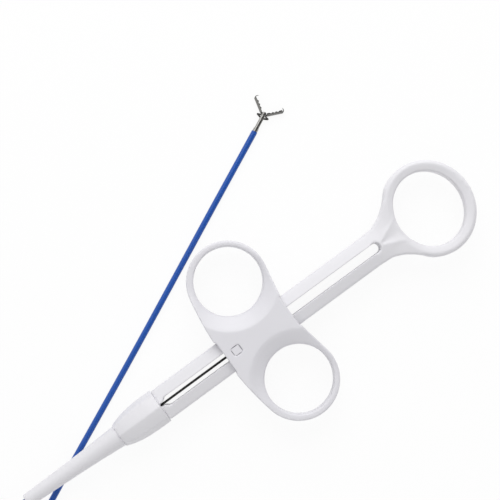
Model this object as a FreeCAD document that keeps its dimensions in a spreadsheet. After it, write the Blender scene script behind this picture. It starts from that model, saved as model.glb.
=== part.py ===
import FreeCAD, Part
import math
import os
import Sketcher

# Foreign body forceps with a three-ring handle, a flexible sheath and a pair of rat-tooth
# alligator jaws worked by a rhombus of two tails and two links.
# The handle axis is X, towards the thumb ring. Z is up from the surface that it lies on.
# X is 0 at the finger rings with the jaws fully open, which is the pose that is built.

SIZES = [
    ("axis_height", 7.2, "handle axis above the surface"),
    ("stem_width", 12.6, "across the slotted stem"),
    ("stem_ridge", 5.5, "stem's half height at its ridge"),
    ("stem_side", 3.3, "stem's half height at its sides"),
    ("stem_rounding", 0.9, "rounding along the stem's sides"),
    ("stem_front", 46.8, "finger rings to the stem's front shoulder"),
    ("slot_width", 3.7, "slot through the stem"),
    ("slot_front", 45.0, "finger rings to the slot's front end"),
    ("slot_back", 53.5, "finger rings to the slot's back end"),
    ("slit_width", 1.2, "assembly slit from the slot to the stem's front"),
    ("spigot_radius", 4.4, "stem's spigot inside the nose cap"),
    ("spigot_length", 9.4, "spigot's length"),
    ("thumb_reach", 76.6, "finger rings to the thumb ring's centre"),
    ("thumb_hole_length", 26.2, "thumb hole along the handle"),
    ("thumb_hole_width", 28.9, "thumb hole across the handle"),
    ("thumb_wall", 4.1, "thumb ring's wall"),
    ("thumb_thickness", 8.0, "thumb ring's thickness"),
    ("thumb_bevel", 1.3, "thumb ring's bevels"),
    ("cut_margin", 1.0, "how far cuts go past what they cut"),
    ("flare_start", 51.0, "where the stem starts to widen"),
    ("flare_inset", 12.1, "thumb ring's centre to where the stem has widened"),
    ("flare_gain", 7.0, "how far each side widens"),
    ("flare_softness", 0.35, "share of the flare's profile that eases in and out"),
    ("flare_side_share", 0.9, "flare's side height at its end, of the thumb ring's"),
    ("valley_start", 0.7, "slot's end to the valley between the two arms"),
    ("valley_inset", 10.4, "thumb ring's centre to the valley's back"),
    ("valley_half_width", 6.6, "valley's half width at its back"),
    ("valley_tip_half_width", 0.33, "valley's half width at its front"),
    ("valley_floor", 1.5, "valley's floor above the handle's middle at its back"),
    ("cap_radius", 7.05, "nose cap's corner radius at its rear"),
    ("cap_nose", 9.3, "nose cap's length in front of the spigot"),
    ("cap_knee_back", 4.5, "where the nose cap starts to close, from its front"),
    ("cap_knee_radius", 6.3, "nose cap's corner radius there"),
    ("cap_front_radius", 4.7, "nose cap's corner radius at its front"),
    ("cap_gap", 0.05, "running gap of seated pieces"),
    ("relief_radius", 4.3, "strain relief at the nose cap"),
    ("relief_tip_radius", 1.85, "strain relief at its end"),
    ("relief_length", 52.5, "strain relief outside the nose cap"),
    ("relief_waist_reach", 15.0, "nose cap to the strain relief's waist"),
    ("relief_waist_radius", 3.15, "strain relief at its waist"),
    ("relief_neck_reach", 32.0, "nose cap to the strain relief's neck"),
    ("relief_neck_radius", 2.5, "strain relief at its neck"),
    ("relief_plug_radius", 3.2, "strain relief's plug in the nose cap"),
    ("relief_plug_length", 5.0, "plug's length"),
    ("bush_radius", 2.0, "guide bush in the spigot"),
    ("bush_length", 7.6, "guide bush's length"),
    ("guide_reach", 13.4, "length of the guide bore from the spigot's end"),
    ("crimp_radius", 2.4, "crimp sleeve on the sheath's near end"),
    ("crimp_length", 3.4, "crimp sleeve's length"),
    ("sheath_diameter", 2.3, "sheath's outside"),
    ("sheath_gap", 0.06, "gap between the sheath and what it passes through"),
    ("tube_diameter", 0.9, "stiffening tube on the pull wire"),
    ("wire_diameter", 0.44, "pull wire in the stiffening tube"),
    ("tube_reach", 14.0, "stiffening tube's length inside the sheath"),
    ("tube_back", 4.6, "stiffening tube's back end behind the finger rings"),
    ("tube_bore_reach", 17.0, "bore in the sheath's near end"),
    ("wire_lead", 1.5, "pull wire's length in front of the stiffening tube"),
    ("plate_thickness", 14.4, "finger spool's plate"),
    ("finger_hole_radius", 12.9, "finger hole"),
    ("finger_hole_spacing", 44.5, "between the finger holes' centres"),
    ("finger_hole_shift", 0.3, "finger holes' centres behind the rings' centres"),
    ("finger_ring_radius", 15.3, "finger ring's outside"),
    ("finger_crown", 4.3, "half height of the finger ring's crown"),
    ("scoop_foot_radius", 15.1, "where the scoop starts to rise, about the hole's axis"),
    ("scoop_knee_radius", 17.2, "where the scoop steepens, about the hole's axis"),
    ("scoop_knee", 5.5, "half height at the scoop's knee"),
    ("scoop_radius", 18.7, "scoop's edge on the plate, about the hole's axis"),
    ("plate_front", 17.3, "plate's front face at the axis"),
    ("plate_back", 12.65, "plate's back face"),
    ("plate_back_half", 7.0, "half width of the straight back face"),
    ("mouth_depth", 0.55, "recess around the stem's two mouths"),
    ("mouth_half", 7.0, "half width of the front mouth's recess"),
    ("back_mouth_half", 6.65, "half width of the back mouth's recess"),
    ("spool_gap", 0.25, "gap between the spool and the stem"),
    ("window_x", 12.1, "latch window's centre in front of the finger rings"),
    ("window_length", 3.5, "latch window along the handle"),
    ("window_width", 3.2, "latch window across the handle"),
    ("latch_gap", 0.12, "gap around the latch lug"),
    ("latch_sink", 0.15, "lug's top below the plate"),
    ("core_front", 14.6, "slider core's front end"),
    ("core_back", 8.0, "slider core's back end"),
    ("core_gap", 0.2, "gap between the core and the slot's sides"),
    ("core_half_height", 4.6, "slider core's half height"),
    ("core_bore_end", 6.0, "back end of the bore in the slider core"),
    ("screw_radius", 1.1, "clamp screw"),
    ("screw_x", 2.0, "clamp screw behind the finger rings"),
    ("screw_socket", 0.55, "clamp screw's socket radius"),
    ("tip_x", 41.98, "sheath's far end along the handle"),
    ("tip_y", 61.94, "sheath's far end across the handle"),
    ("tip_angle", 25.7, "direction of the sheath's far end"),
    ("ferrule_length", 0.9, "end ferrule on the sheath"),
    ("ferrule_radius", 1.0, "end ferrule's outside"),
    ("clevis_radius", 0.98, "clevis's outside"),
    ("clevis_slot", 1.24, "clevis's slot"),
    ("clevis_base", 1.1, "clevis's solid base"),
    ("shank_radius", 0.75, "clevis's shank in the sheath"),
    ("shank_length", 5.0, "shank's length"),
    ("socket_depth", 16.0, "bore in the sheath behind the clevis"),
    ("pivot_reach", 7.05, "sheath's end to the jaw pivot"),
    ("ear_radius", 0.95, "rounding of the clevis's ears about the pivot"),
    ("pivot_radius", 0.24, "jaw pivot pin"),
    ("pivot_half", 0.93, "half length of the jaw pivot pin"),
    ("pin_gap", 0.03, "running gap of pins"),
    ("pin_seat_gap", 0.01, "gap of pins in what holds them"),
    ("tail_length", 2.3, "jaw pivot to link rivet, and link rivet to drive pin"),
    ("tail_angle", 67.5, "tail to the sheath's line with the jaws open"),
    ("jaw_swing", 50.0, "each jaw's swing from open to closed"),
    ("leaf_gap", 0.03, "gap between the two jaw leaves"),
    ("leaf_thickness", 0.38, "jaw leaves and links"),
    ("boss_radius", 0.8, "jaw leaf's boss about the pivot"),
    ("tail_boss_radius", 0.36, "boss at the links' ends"),
    ("tail_waist", 0.62, "width of tails and links"),
    ("rivet_radius", 0.2, "link rivets and drive pin"),
    ("fork_gap", 0.035, "gap between the links and the drive fork"),
    ("fork_plate", 0.16, "drive fork's plates"),
    ("fork_radius", 0.42, "drive fork's nose"),
    ("fork_length", 0.85, "drive pin to the fork's root"),
    ("fork_root", 0.6, "length of the fork's root"),
    ("fork_play", 0.36, "slot in the fork for the drive pin's lag"),
    ("drive_wire_radius", 0.34, "drive wire"),
    ("drive_wire_reach", 8.0, "drive wire's length inside the sheath"),
    ("blade_start", 1.15, "jaw pivot to the blade's root"),
    ("neck_end", 1.65, "jaw pivot to the end of the neck that joins leaf and blade"),
    ("neck_back", 0.95, "height of the neck's back"),
    ("neck_corner", 0.48, "jaw pivot to the neck's inner corner"),
    ("blade_end", 7.1, "jaw pivot to the blade's end"),
    ("blade_radius", 1.06, "blade's half-round back"),
    ("channel_radius", 0.7, "channel inside the blade"),
    ("channel_start", 2.0, "jaw pivot to the channel"),
    ("channel_end", 6.6, "jaw pivot to the channel's end"),
    ("tooth_pitch", 1.335, "pitch of the alligator teeth"),
    ("tooth_height", 0.36, "height of the alligator teeth"),
    ("first_tooth", 2.75, "jaw pivot to the first tooth"),
    ("bite_gap", 0.05, "gap between the closed jaws"),
    ("claw_half", 0.27, "half thickness of the single claw"),
    ("claw_inner", 0.34, "inner face of the paired claws"),
    ("claw_outer", 0.8, "outer face of the paired claws"),
    ("claw_tip_x", 7.3, "claw's tip along the jaw"),
    ("claw_tip_y", 1.03, "claw's tip past the closed jaws' middle"),
    ("claw_root_x", 6.5, "claw's root on the back"),
    ("claw_heel", 0.25, "depth of the claw's root in the blade"),
    ("claw_toe", 0.3, "length of the claw's root in the blade"),
    ("claw_curve", 1.19, "claw's outer radius"),
    ("claw_hollow", 1.1, "claw's inner radius"),
    ("claw_throat", 0.45, "claw's throat above the closed jaws' middle"),
    ("coil_mid_radius", 16.0, "middle of the put-away coil's turns"),
    ("coil_width", 9.2, "coil's width across its turns"),
    ("coil_height", 8.3, "coil's height"),
    ("coil_x", 169.6, "coil's centre in front of the finger rings"),
    ("coil_y", 18.3, "coil's centre beside the handle axis"),
]

TEETH = 3
CAP_SIDES = 8
RELIEF_SIDES = 24
SOCKET_SIDES = 6
TOUCH = 0.01

doc = FreeCAD.newDocument("foreign_body_forceps")
sheet = doc.addObject("Spreadsheet::Sheet", "Sizes")
for row, (alias, number, meaning) in enumerate(SIZES, start=1):
    sheet.set("A%d" % row, meaning)
    sheet.set("B%d" % row, str(number))
    sheet.setAlias("B%d" % row, alias)
doc.recompute()


class Size:
    """A length or angle: its number, and the expression that gives it from the sheet."""

    def __init__(self, number, text):
        self.number = float(number)
        self.text = text

    def combine(self, other, sign, number):
        text = other.text if isinstance(other, Size) else repr(float(other))
        return Size(number, "(%s %s %s)" % (self.text, sign, text))

    def __add__(self, other):
        return self.combine(other, "+", self.number + plain(other))

    def __sub__(self, other):
        return self.combine(other, "-", self.number - plain(other))

    def __mul__(self, other):
        return self.combine(other, "*", self.number * plain(other))

    def __truediv__(self, other):
        return self.combine(other, "/", self.number / plain(other))

    def __neg__(self):
        return Size(-self.number, "(0 - %s)" % self.text)

    def cosine(self):
        return Size(math.cos(math.radians(self.number)), "cos(%s)" % self.text)

    def sine(self):
        return Size(math.sin(math.radians(self.number)), "sin(%s)" % self.text)

    def root(self):
        return Size(math.sqrt(self.number), "sqrt(%s)" % self.text)


def plain(value):
    """The number of a Size, or the value itself."""
    return value.number if isinstance(value, Size) else float(value)


def size(alias):
    """The sheet's cell of that name."""
    return Size(sheet.get(alias), "Sizes.%s" % alias)


ZERO = Size(0, "0")
UP = FreeCAD.Vector(0, 0, 1)


def vec(x, y, z=0):
    return FreeCAD.Vector(plain(x), plain(y), plain(z))


def bind(target, path, value):
    """Set a property from the sheet and keep it bound."""
    target.setExpression(path, value.text)


def new_body(name):
    body = doc.addObject("PartDesign::Body", name)
    body.Label = name
    return body


def place(body, x, y, z, angle=ZERO):
    """Put a piece at a point, turned about the vertical."""
    body.Placement = FreeCAD.Placement(vec(x, y, z), FreeCAD.Rotation(UP, angle.number))
    bind(body, "Placement.Base.x", x)
    bind(body, "Placement.Base.y", y)
    bind(body, "Placement.Base.z", z)
    if angle is not ZERO:
        bind(body, "Placement.Rotation.Angle", angle)


def new_sketch(body, name, role, lift=ZERO, shift=(ZERO, ZERO)):
    """A sketch on one of the body's own planes, lifted along its normal and shifted in it."""
    plane = [item for item in body.Origin.OriginFeatures if item.Role == role][0]
    sketch = body.newObject("Sketcher::SketchObject", name)
    sketch.AttachmentSupport = [(plane, "")]
    sketch.MapMode = "FlatFace"
    sketch.AttachmentOffset = FreeCAD.Placement(vec(shift[0], shift[1], lift), FreeCAD.Rotation())
    bind(sketch, "AttachmentOffset.Base.x", shift[0])
    bind(sketch, "AttachmentOffset.Base.y", shift[1])
    bind(sketch, "AttachmentOffset.Base.z", lift)
    return sketch


def pin_point(sketch, geometry, point, x, y):
    """Fix one sketch point at two sizes from the sketch's origin."""
    for kind, value in (("DistanceX", x), ("DistanceY", y)):
        index = sketch.addConstraint(Sketcher.Constraint(kind, geometry, point, value.number))
        bind(sketch, "Constraints[%d]" % index, value)


def set_radius(sketch, geometry, radius):
    index = sketch.addConstraint(Sketcher.Constraint("Radius", geometry, radius.number))
    bind(sketch, "Constraints[%d]" % index, radius)


def draw_circle(sketch, radius, x=ZERO, y=ZERO):
    geometry = sketch.addGeometry(Part.Circle(vec(x, y), UP, radius.number), False)
    pin_point(sketch, geometry, 3, x, y)
    set_radius(sketch, geometry, radius)


def draw_ellipse(sketch, half_x, half_y, x, y):
    """An upright ellipse: half_y is its longer half."""
    top = vec(x, y + half_y)
    side = vec(x + half_x, y)
    geometry = sketch.addGeometry(Part.Ellipse(top, side, vec(x, y)), False)
    sketch.exposeInternalGeometry(geometry)
    pin_point(sketch, geometry, 3, x, y)
    for line, length in ((geometry + 1, half_y * 2), (geometry + 2, half_x * 2)):
        index = sketch.addConstraint(Sketcher.Constraint("Distance", line, length.number))
        bind(sketch, "Constraints[%d]" % index, length)
    sketch.addConstraint(Sketcher.Constraint("Vertical", geometry + 1))


def arc_between(start, end, radius, turn):
    """The arc of a circle from start to end: turn is 1 for counterclockwise, -1 for clockwise."""
    chord = end - start
    half = chord.Length / 2
    rise = math.sqrt(max(radius * radius - half * half, 0))
    left = FreeCAD.Vector(-chord.y, chord.x, 0).normalize()
    centre = (start + end) * 0.5 + left * rise * turn
    first, last = (start, end) if turn > 0 else (end, start)
    low = math.atan2(first.y - centre.y, first.x - centre.x)
    high = math.atan2(last.y - centre.y, last.x - centre.x)
    return Part.ArcOfCircle(Part.Circle(centre, UP, radius), low, high)


def draw_outline(sketch, steps):
    """A closed outline through fixed points. A step is (x, y), reached by a straight line,
    or (x, y, radius, turn), reached by an arc."""
    sides = []
    for index, step in enumerate(steps):
        before = steps[index - 1]
        start = vec(before[0], before[1])
        end = vec(step[0], step[1])
        if len(step) == 2:
            geometry = sketch.addGeometry(Part.LineSegment(start, end), False)
            sides.append((geometry, 1, 2))
        else:
            curve = arc_between(start, end, plain(step[2]), step[3])
            geometry = sketch.addGeometry(curve, False)
            sides.append((geometry, 1, 2) if step[3] > 0 else (geometry, 2, 1))
    for index, (geometry, first, last) in enumerate(sides):
        before = sides[index - 1]
        joint = Sketcher.Constraint("Coincident", before[0], before[2], geometry, first)
        sketch.addConstraint(joint)
        step = steps[index]
        pin_point(sketch, geometry, last, step[0], step[1])
        if len(step) == 4:
            set_radius(sketch, geometry, step[2])


def draw_box(sketch, low_x, low_y, high_x, high_y):
    draw_outline(sketch, [(low_x, low_y), (high_x, low_y), (high_x, high_y), (low_x, high_y)])


def polygon(sides, radius, x=ZERO):
    """Corners of a regular polygon, the first on the sketch's first axis."""
    corners = []
    for corner in range(sides):
        turn = 2 * math.pi * corner / sides
        corners.append((x + radius * math.cos(turn), radius * math.sin(turn)))
    return corners


def draw_slot(sketch, low_x, high_x, radius, y=ZERO):
    """A slot with round ends along the sketch's first axis; low_x and high_x are its ends."""
    left = low_x + radius
    right = high_x - radius
    top = sketch.addGeometry(
        Part.LineSegment(vec(left, y + radius), vec(right, y + radius)), False)
    bottom = sketch.addGeometry(
        Part.LineSegment(vec(left, y - radius), vec(right, y - radius)), False)
    ends = []
    for centre, low, high in ((left, math.pi / 2, math.pi * 1.5),
                              (right, -math.pi / 2, math.pi / 2)):
        circle = Part.Circle(vec(centre, y), UP, radius.number)
        end = sketch.addGeometry(Part.ArcOfCircle(circle, low, high), False)
        pin_point(sketch, end, 3, centre, y)
        ends.append(end)
    set_radius(sketch, ends[0], radius)
    sketch.addConstraint(Sketcher.Constraint("Equal", ends[0], ends[1]))
    for line, line_end, arc, arc_end in ((top, 1, ends[0], 1), (bottom, 1, ends[0], 2),
                                         (bottom, 2, ends[1], 1), (top, 2, ends[1], 2)):
        sketch.addConstraint(Sketcher.Constraint("Tangent", line, line_end, arc, arc_end))


def add_prism(body, name, kind, sketch, length, side="One side", reverse=False):
    """A Pad or a Pocket of one length."""
    feature = body.newObject("PartDesign::%s" % kind, name)
    feature.Profile = sketch
    bind(feature, "Length", length)
    feature.SideType = side
    feature.Reversed = reverse
    doc.recompute()
    return feature


def cut_through(body, name, sketch):
    """Cut a sketch right through, both ways."""
    feature = body.newObject("PartDesign::Pocket", name)
    feature.Profile = sketch
    feature.Type = "ThroughAll"
    feature.SideType = "Symmetric"
    doc.recompute()
    return feature


def add_turning(body, name, kind, sketch, axis):
    """A Revolution or a Groove about one of the sketch's axes."""
    feature = body.newObject("PartDesign::%s" % kind, name)
    feature.Profile = sketch
    feature.ReferenceAxis = (sketch, [axis])
    feature.Angle = 360
    doc.recompute()
    return feature


def is_level(edge):
    heights = [vertex.Z for vertex in edge.Vertexes]
    return max(heights) - min(heights) < TOUCH


def add_fillet(body, name, radius, wanted):
    """Round the edges of the body's last feature for which wanted(edge) is true."""
    base = body.Tip
    edges = ["Edge%d" % (index + 1) for index, edge in enumerate(base.Shape.Edges) if wanted(edge)]
    feature = body.newObject("PartDesign::Fillet", name)
    feature.Base = (base, edges)
    bind(feature, "Radius", radius)
    doc.recompute()
    return feature


def mirror(body, name, features, role):
    """Mirror features in one of the body's own planes."""
    plane = [item for item in body.Origin.OriginFeatures if item.Role == role][0]
    feature = body.newObject("PartDesign::Mirrored", name)
    feature.Originals = features
    feature.MirrorPlane = (plane, [""])
    body.Tip = feature
    doc.recompute()
    return feature


# Handle frame: thumb ring, flare and slotted stem in one moulding

def draw_stem_section(sketch, half_width, ridge, side, gap=ZERO):
    """The stem's section: a bar with a ridge above and below, seen along the handle."""
    wide = half_width + gap
    draw_outline(sketch, [
        (wide, side + gap), (ZERO, ridge + gap), (-wide, side + gap),
        (-wide, -(side + gap)), (ZERO, -(ridge + gap)), (wide, -(side + gap))])


def flare_at(share):
    """Half width and half heights of the flare at a share of its length."""
    softness = size("flare_softness")
    rise = (softness * (2 - 2 * share) + 1) * share * share
    half_width = size("stem_width") / 2 + size("flare_gain") * rise
    end_height = size("thumb_thickness") / 2
    ridge = size("stem_ridge") + (end_height - size("stem_ridge")) * share
    side_end = end_height * size("flare_side_share")
    side = size("stem_side") + (side_end - size("stem_side")) * share
    return half_width, ridge, side


def add_stack(body, name, kind, layers):
    """A ruled loft of upright ellipses about the thumb ring's centre. A layer is its height
    and how far the ellipse lies outside the thumb hole."""
    sections = []
    for index, (height, growth) in enumerate(layers):
        section = new_sketch(body, "%s_section_%d" % (name, index), "XY_Plane", height)
        draw_ellipse(section, size("thumb_hole_length") / 2 + growth,
                     size("thumb_hole_width") / 2 + growth, size("thumb_reach"), ZERO)
        sections.append(section)
    loft = body.newObject("PartDesign::%s" % kind, name)
    loft.Profile = sections[0]
    loft.Sections = sections[1:]
    loft.Ruled = True
    doc.recompute()


def add_ring(body):
    """The thumb ring: a bevelled disc, then its bevelled hole."""
    top = size("thumb_thickness") / 2
    bevel = size("thumb_bevel")
    wall = size("thumb_wall")
    disc = [(top - bevel, wall), (top, wall - bevel)]
    add_stack(body, "thumb_disc", "AdditiveLoft",
              [(-height, growth) for height, growth in reversed(disc)] + disc)
    clear = size("stem_ridge") + size("cut_margin")
    hole = [(top - bevel, ZERO), (top, bevel), (clear, bevel)]
    add_stack(body, "thumb_hole", "SubtractiveLoft",
              [(-height, growth) for height, growth in reversed(hole)] + hole)


def add_valleys(body):
    """The valley between the two arms, above and below, from the slot's end to the thumb hole."""
    front = size("slot_back") + size("valley_start")
    back = size("thumb_reach") - size("valley_inset")
    for name, side in (("upper", 1), ("lower", -1)):
        sections = []
        for part_name, x, half_width, floor in (
                ("front", front, size("valley_tip_half_width"), size("stem_side")),
                ("back", back, size("valley_half_width"),
                 size("valley_floor"))):
            section = new_sketch(body, "%s_valley_%s" % (name, part_name), "YZ_Plane", x)
            top = size("stem_ridge") + size("cut_margin")
            draw_outline(section, [(ZERO, floor * side), (half_width, top * side),
                                   (-half_width, top * side)])
            sections.append(section)
        valley = body.newObject("PartDesign::SubtractiveLoft", "%s_valley" % name)
        valley.Profile = sections[0]
        valley.Sections = sections[1:]
        valley.Ruled = True
        doc.recompute()


def make_handle_frame():
    body = new_body("handle_frame")
    stem = new_sketch(body, "stem_section", "YZ_Plane", -size("stem_front"))
    draw_stem_section(stem, size("stem_width") / 2, size("stem_ridge"), size("stem_side"))
    sections = []
    flare_length = size("thumb_reach") - size("flare_inset") - size("flare_start")
    for index, share in enumerate((0.0, 0.3, 0.6, 0.8, 1.0)):
        place_x = size("flare_start") + flare_length * share
        section = new_sketch(body, "flare_section_%d" % index, "YZ_Plane", place_x)
        draw_stem_section(section, *flare_at(share))
        sections.append(section)
    add_prism(body, "stem_pad", "Pad", stem, size("stem_front") + size("flare_start"))
    flare = body.newObject("PartDesign::AdditiveLoft", "flare")
    flare.Profile = sections[0]
    flare.Sections = sections[1:]
    flare.Ruled = True
    doc.recompute()
    add_ring(body)
    add_valleys(body)

    slot = new_sketch(body, "slot_outline", "XY_Plane")
    draw_slot(slot, -size("slot_front"), size("slot_back"), size("slot_width") / 2)
    cut_through(body, "slot", slot)

    spigot = new_sketch(body, "spigot_circle", "YZ_Plane", -size("stem_front"))
    draw_circle(spigot, size("spigot_radius"))
    add_prism(body, "spigot", "Pad", spigot, size("spigot_length"), "One side", True)
    bore = new_sketch(body, "bush_bore", "YZ_Plane", -(size("stem_front") + size("spigot_length")))
    draw_circle(bore, size("bush_radius") + size("cap_gap"))
    add_prism(body, "bush_seat", "Pocket", bore, size("bush_length"), "One side", True)
    guide = new_sketch(body, "guide_bore", "YZ_Plane", -(size("stem_front") + size("spigot_length")))
    draw_circle(guide, size("slit_width") / 2)
    add_prism(body, "guide", "Pocket", guide, size("guide_reach"), "One side", True)
    slit = new_sketch(body, "slit_outline", "XY_Plane")
    draw_box(slit, -(size("stem_front") + size("spool_gap")), -(size("slit_width") / 2),
             -(size("slot_front") - size("cut_margin")), size("slit_width") / 2)
    cut_through(body, "slit", slit)
    half = size("stem_width").number / 2
    add_fillet(body, "stem_rounding", size("stem_rounding"), lambda edge: (
        edge.Length > half and is_level(edge) and all(
            abs(abs(vertex.Y) - half) < TOUCH for vertex in edge.Vertexes)))
    place(body, ZERO, ZERO, size("axis_height"))


# Nose cap, strain relief and what they hold

def cap_front():
    """How far in front of the finger rings the nose cap ends and the strain relief starts."""
    return size("stem_front") + size("spigot_length") + size("cap_nose")


def make_nose_cap():
    body = new_body("nose_cap")
    rear = -size("stem_front")
    front = cap_front()
    sections = []
    for reach, radius in ((size("stem_front"), size("cap_radius")),
                          (front - size("cap_knee_back"), size("cap_knee_radius")),
                          (front, size("cap_front_radius"))):
        section = new_sketch(body, "cap_section_%d" % len(sections), "YZ_Plane", -reach)
        draw_outline(section, polygon(CAP_SIDES, radius))
        sections.append(section)
    loft = body.newObject("PartDesign::AdditiveLoft", "cap_loft")
    loft.Profile = sections[0]
    loft.Sections = sections[1:]
    loft.Ruled = True
    doc.recompute()
    bore = new_sketch(body, "cap_bore_circle", "YZ_Plane", rear)
    draw_circle(bore, size("spigot_radius") + size("cap_gap"))
    add_prism(body, "cap_bore", "Pocket", bore, size("spigot_length") + size("cap_gap"))
    hole = new_sketch(body, "cap_hole_circle", "YZ_Plane", rear)
    draw_circle(hole, size("relief_plug_radius") + size("cap_gap"))
    add_prism(body, "cap_hole", "Pocket", hole, front - size("stem_front") + size("cut_margin"))
    place(body, ZERO, ZERO, size("axis_height"))


def make_strain_relief():
    body = new_body("strain_relief")
    shoulder = -cap_front()
    sections = []
    for reach, radius in ((ZERO, size("relief_radius")),
                          (size("relief_waist_reach"), size("relief_waist_radius")),
                          (size("relief_neck_reach"), size("relief_neck_radius")),
                          (size("relief_length"), size("relief_tip_radius"))):
        section = new_sketch(body, "relief_section_%d" % len(sections), "YZ_Plane",
                             shoulder - reach)
        draw_outline(section, polygon(RELIEF_SIDES, radius))
        sections.append(section)
    taper = body.newObject("PartDesign::AdditiveLoft", "taper")
    taper.Profile = sections[0]
    taper.Sections = sections[1:]
    taper.Ruled = True
    doc.recompute()
    plug = new_sketch(body, "plug_circle", "YZ_Plane", shoulder)
    draw_circle(plug, size("relief_plug_radius"))
    add_prism(body, "plug", "Pad", plug, size("relief_plug_length"))
    bore = new_sketch(body, "sheath_bore", "YZ_Plane")
    draw_circle(bore, size("sheath_diameter") / 2 + size("sheath_gap"))
    cut_through(body, "sheath_passage", bore)
    place(body, ZERO, ZERO, size("axis_height"))


def make_stem_bush():
    body = new_body("stem_bush")
    front = -(size("stem_front") + size("spigot_length"))
    ring = new_sketch(body, "bush_rings", "YZ_Plane", front)
    draw_circle(ring, size("bush_radius"))
    draw_circle(ring, size("tube_diameter") / 2 + size("pin_gap"))
    add_prism(body, "bush_pad", "Pad", ring, size("bush_length") - size("cap_gap"))
    place(body, ZERO, ZERO, size("axis_height"))


def crimp_front():
    """The sheath's near end, just in front of the spigot."""
    return -(size("stem_front") + size("spigot_length") + size("cap_gap") * 2)


def make_sheath_crimp():
    body = new_body("sheath_crimp")
    rings = new_sketch(body, "crimp_rings", "YZ_Plane", crimp_front())
    draw_circle(rings, size("crimp_radius"))
    draw_circle(rings, size("sheath_diameter") / 2)
    add_prism(body, "crimp_pad", "Pad", rings, size("crimp_length"), "One side", True)
    place(body, ZERO, ZERO, size("axis_height"))


# Finger spool and what travels with it

def spool_outline():
    """Plan of the finger spool, counterclockwise from the back face's upper end."""
    ring_y = size("finger_hole_spacing") / 2
    ring = size("finger_ring_radius")
    corner_x = size("plate_back")
    corner_y = size("plate_back_half")
    reach = (corner_x * corner_x + (ring_y - corner_y) * (ring_y - corner_y)).root()
    lean = math.atan2(plain(ring_y - corner_y), -plain(corner_x))
    turn = lean - math.asin(ring.number / reach.number)
    length = math.sqrt(reach.number ** 2 - ring.number ** 2)
    touch_x = corner_x + length * math.cos(turn)
    touch_y = corner_y + length * math.sin(turn)
    front = size("plate_front").number
    bulge = (front ** 2 - ring.number ** 2 - ring_y.number ** 2) / (2 * (front - ring.number))
    flank = front - bulge
    rise = math.atan2(ring_y.number, -bulge)
    side_x = ring * -1.0 * math.cos(rise)
    side_y = ring_y + ring * math.sin(rise)
    return [
        (corner_x, -corner_y), (corner_x, corner_y),
        (touch_x, touch_y), (ZERO, ring_y + ring, ring, 1), (side_x, side_y, ring, 1),
        (side_x, -side_y, Size(flank, repr(flank)), 1),
        (ZERO, -(ring_y + ring), ring, 1), (touch_x, -touch_y, ring, 1)]


def draw_scoop(sketch):
    """Half section of a finger hole with its ring and the scoops above and below."""
    top = size("plate_thickness") / 2
    over = top + size("cut_margin")
    upper = [
        (size("finger_hole_radius"), size("finger_crown")),
        (size("scoop_foot_radius"), size("finger_crown")),
        (size("scoop_knee_radius"), size("scoop_knee")),
        (size("scoop_radius"), top), (size("scoop_radius"), over), (ZERO, over)]
    lower = [(x, -y) for x, y in reversed(upper)]
    draw_outline(sketch, lower + upper)


def make_finger_spool():
    body = new_body("finger_spool")
    outline = new_sketch(body, "spool_plan", "XY_Plane")
    draw_outline(outline, spool_outline())
    add_prism(body, "spool_pad", "Pad", outline, size("plate_thickness"), "Symmetric")
    scoop = new_sketch(body, "scoop_section", "XZ_Plane", -(size("finger_hole_spacing") / 2),
                       (size("finger_hole_shift"), ZERO))
    draw_scoop(scoop)
    groove = add_turning(body, "scoop", "Groove", scoop, "V_Axis")
    mirror(body, "scoop_mirror", [groove], "XZ_Plane")
    channel = new_sketch(body, "channel_section", "YZ_Plane")
    draw_stem_section(channel, size("stem_width") / 2, size("stem_ridge"), size("stem_side"),
                      size("spool_gap"))
    cut_through(body, "channel", channel)
    over = size("plate_thickness") / 2 + size("cut_margin")
    front_mouth = new_sketch(body, "front_mouth", "XZ_Plane")
    draw_box(front_mouth, -(size("plate_front") + size("cut_margin")), -over,
             -(size("plate_front") - size("mouth_depth")), over)
    add_prism(body, "front_recess", "Pocket", front_mouth, size("mouth_half") * 2, "Symmetric")
    back_mouth = new_sketch(body, "back_mouth", "XZ_Plane")
    draw_box(back_mouth, size("plate_back") - size("mouth_depth"), -over,
             size("plate_back") + size("cut_margin"), over)
    add_prism(body, "back_recess", "Pocket", back_mouth, size("back_mouth_half") * 2, "Symmetric")
    window = new_sketch(body, "window_outline", "XY_Plane")
    half_length = size("window_length") / 2
    draw_box(window, -(size("window_x") + half_length), -(size("window_width") / 2),
             -(size("window_x") - half_length), size("window_width") / 2)
    add_prism(body, "window", "Pocket", window, over, "One side", True)
    place(body, ZERO, ZERO, size("axis_height"))


def make_slider_core():
    body = new_body("slider_core")
    block = new_sketch(body, "core_plan", "XY_Plane")
    half = size("slot_width") / 2 - size("core_gap")
    draw_box(block, -size("core_front"), -half, size("core_back"), half)
    add_prism(body, "core_pad", "Pad", block, size("core_half_height") * 2, "Symmetric")
    lug = new_sketch(body, "lug_plan", "XY_Plane")
    half_length = size("window_length") / 2 - size("latch_gap")
    half_width = size("window_width") / 2 - size("latch_gap")
    draw_box(lug, -(size("window_x") + half_length), -half_width,
             -(size("window_x") - half_length), half_width)
    add_prism(body, "lug_pad", "Pad", lug, size("plate_thickness") / 2 - size("latch_sink"))
    bore = new_sketch(body, "tube_bore", "YZ_Plane", -size("core_front"))
    draw_circle(bore, size("tube_diameter") / 2 + size("pin_gap"))
    add_prism(body, "tube_hole", "Pocket", bore, size("core_front") + size("core_bore_end"),
              "One side", True)
    screw = new_sketch(body, "screw_circle", "XY_Plane", -size("core_half_height"))
    draw_circle(screw, size("screw_radius") + size("pin_gap"), size("screw_x"), ZERO)
    add_prism(body, "screw_hole", "Pocket", screw, size("core_half_height"), "One side", True)
    place(body, ZERO, ZERO, size("axis_height"))


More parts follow.
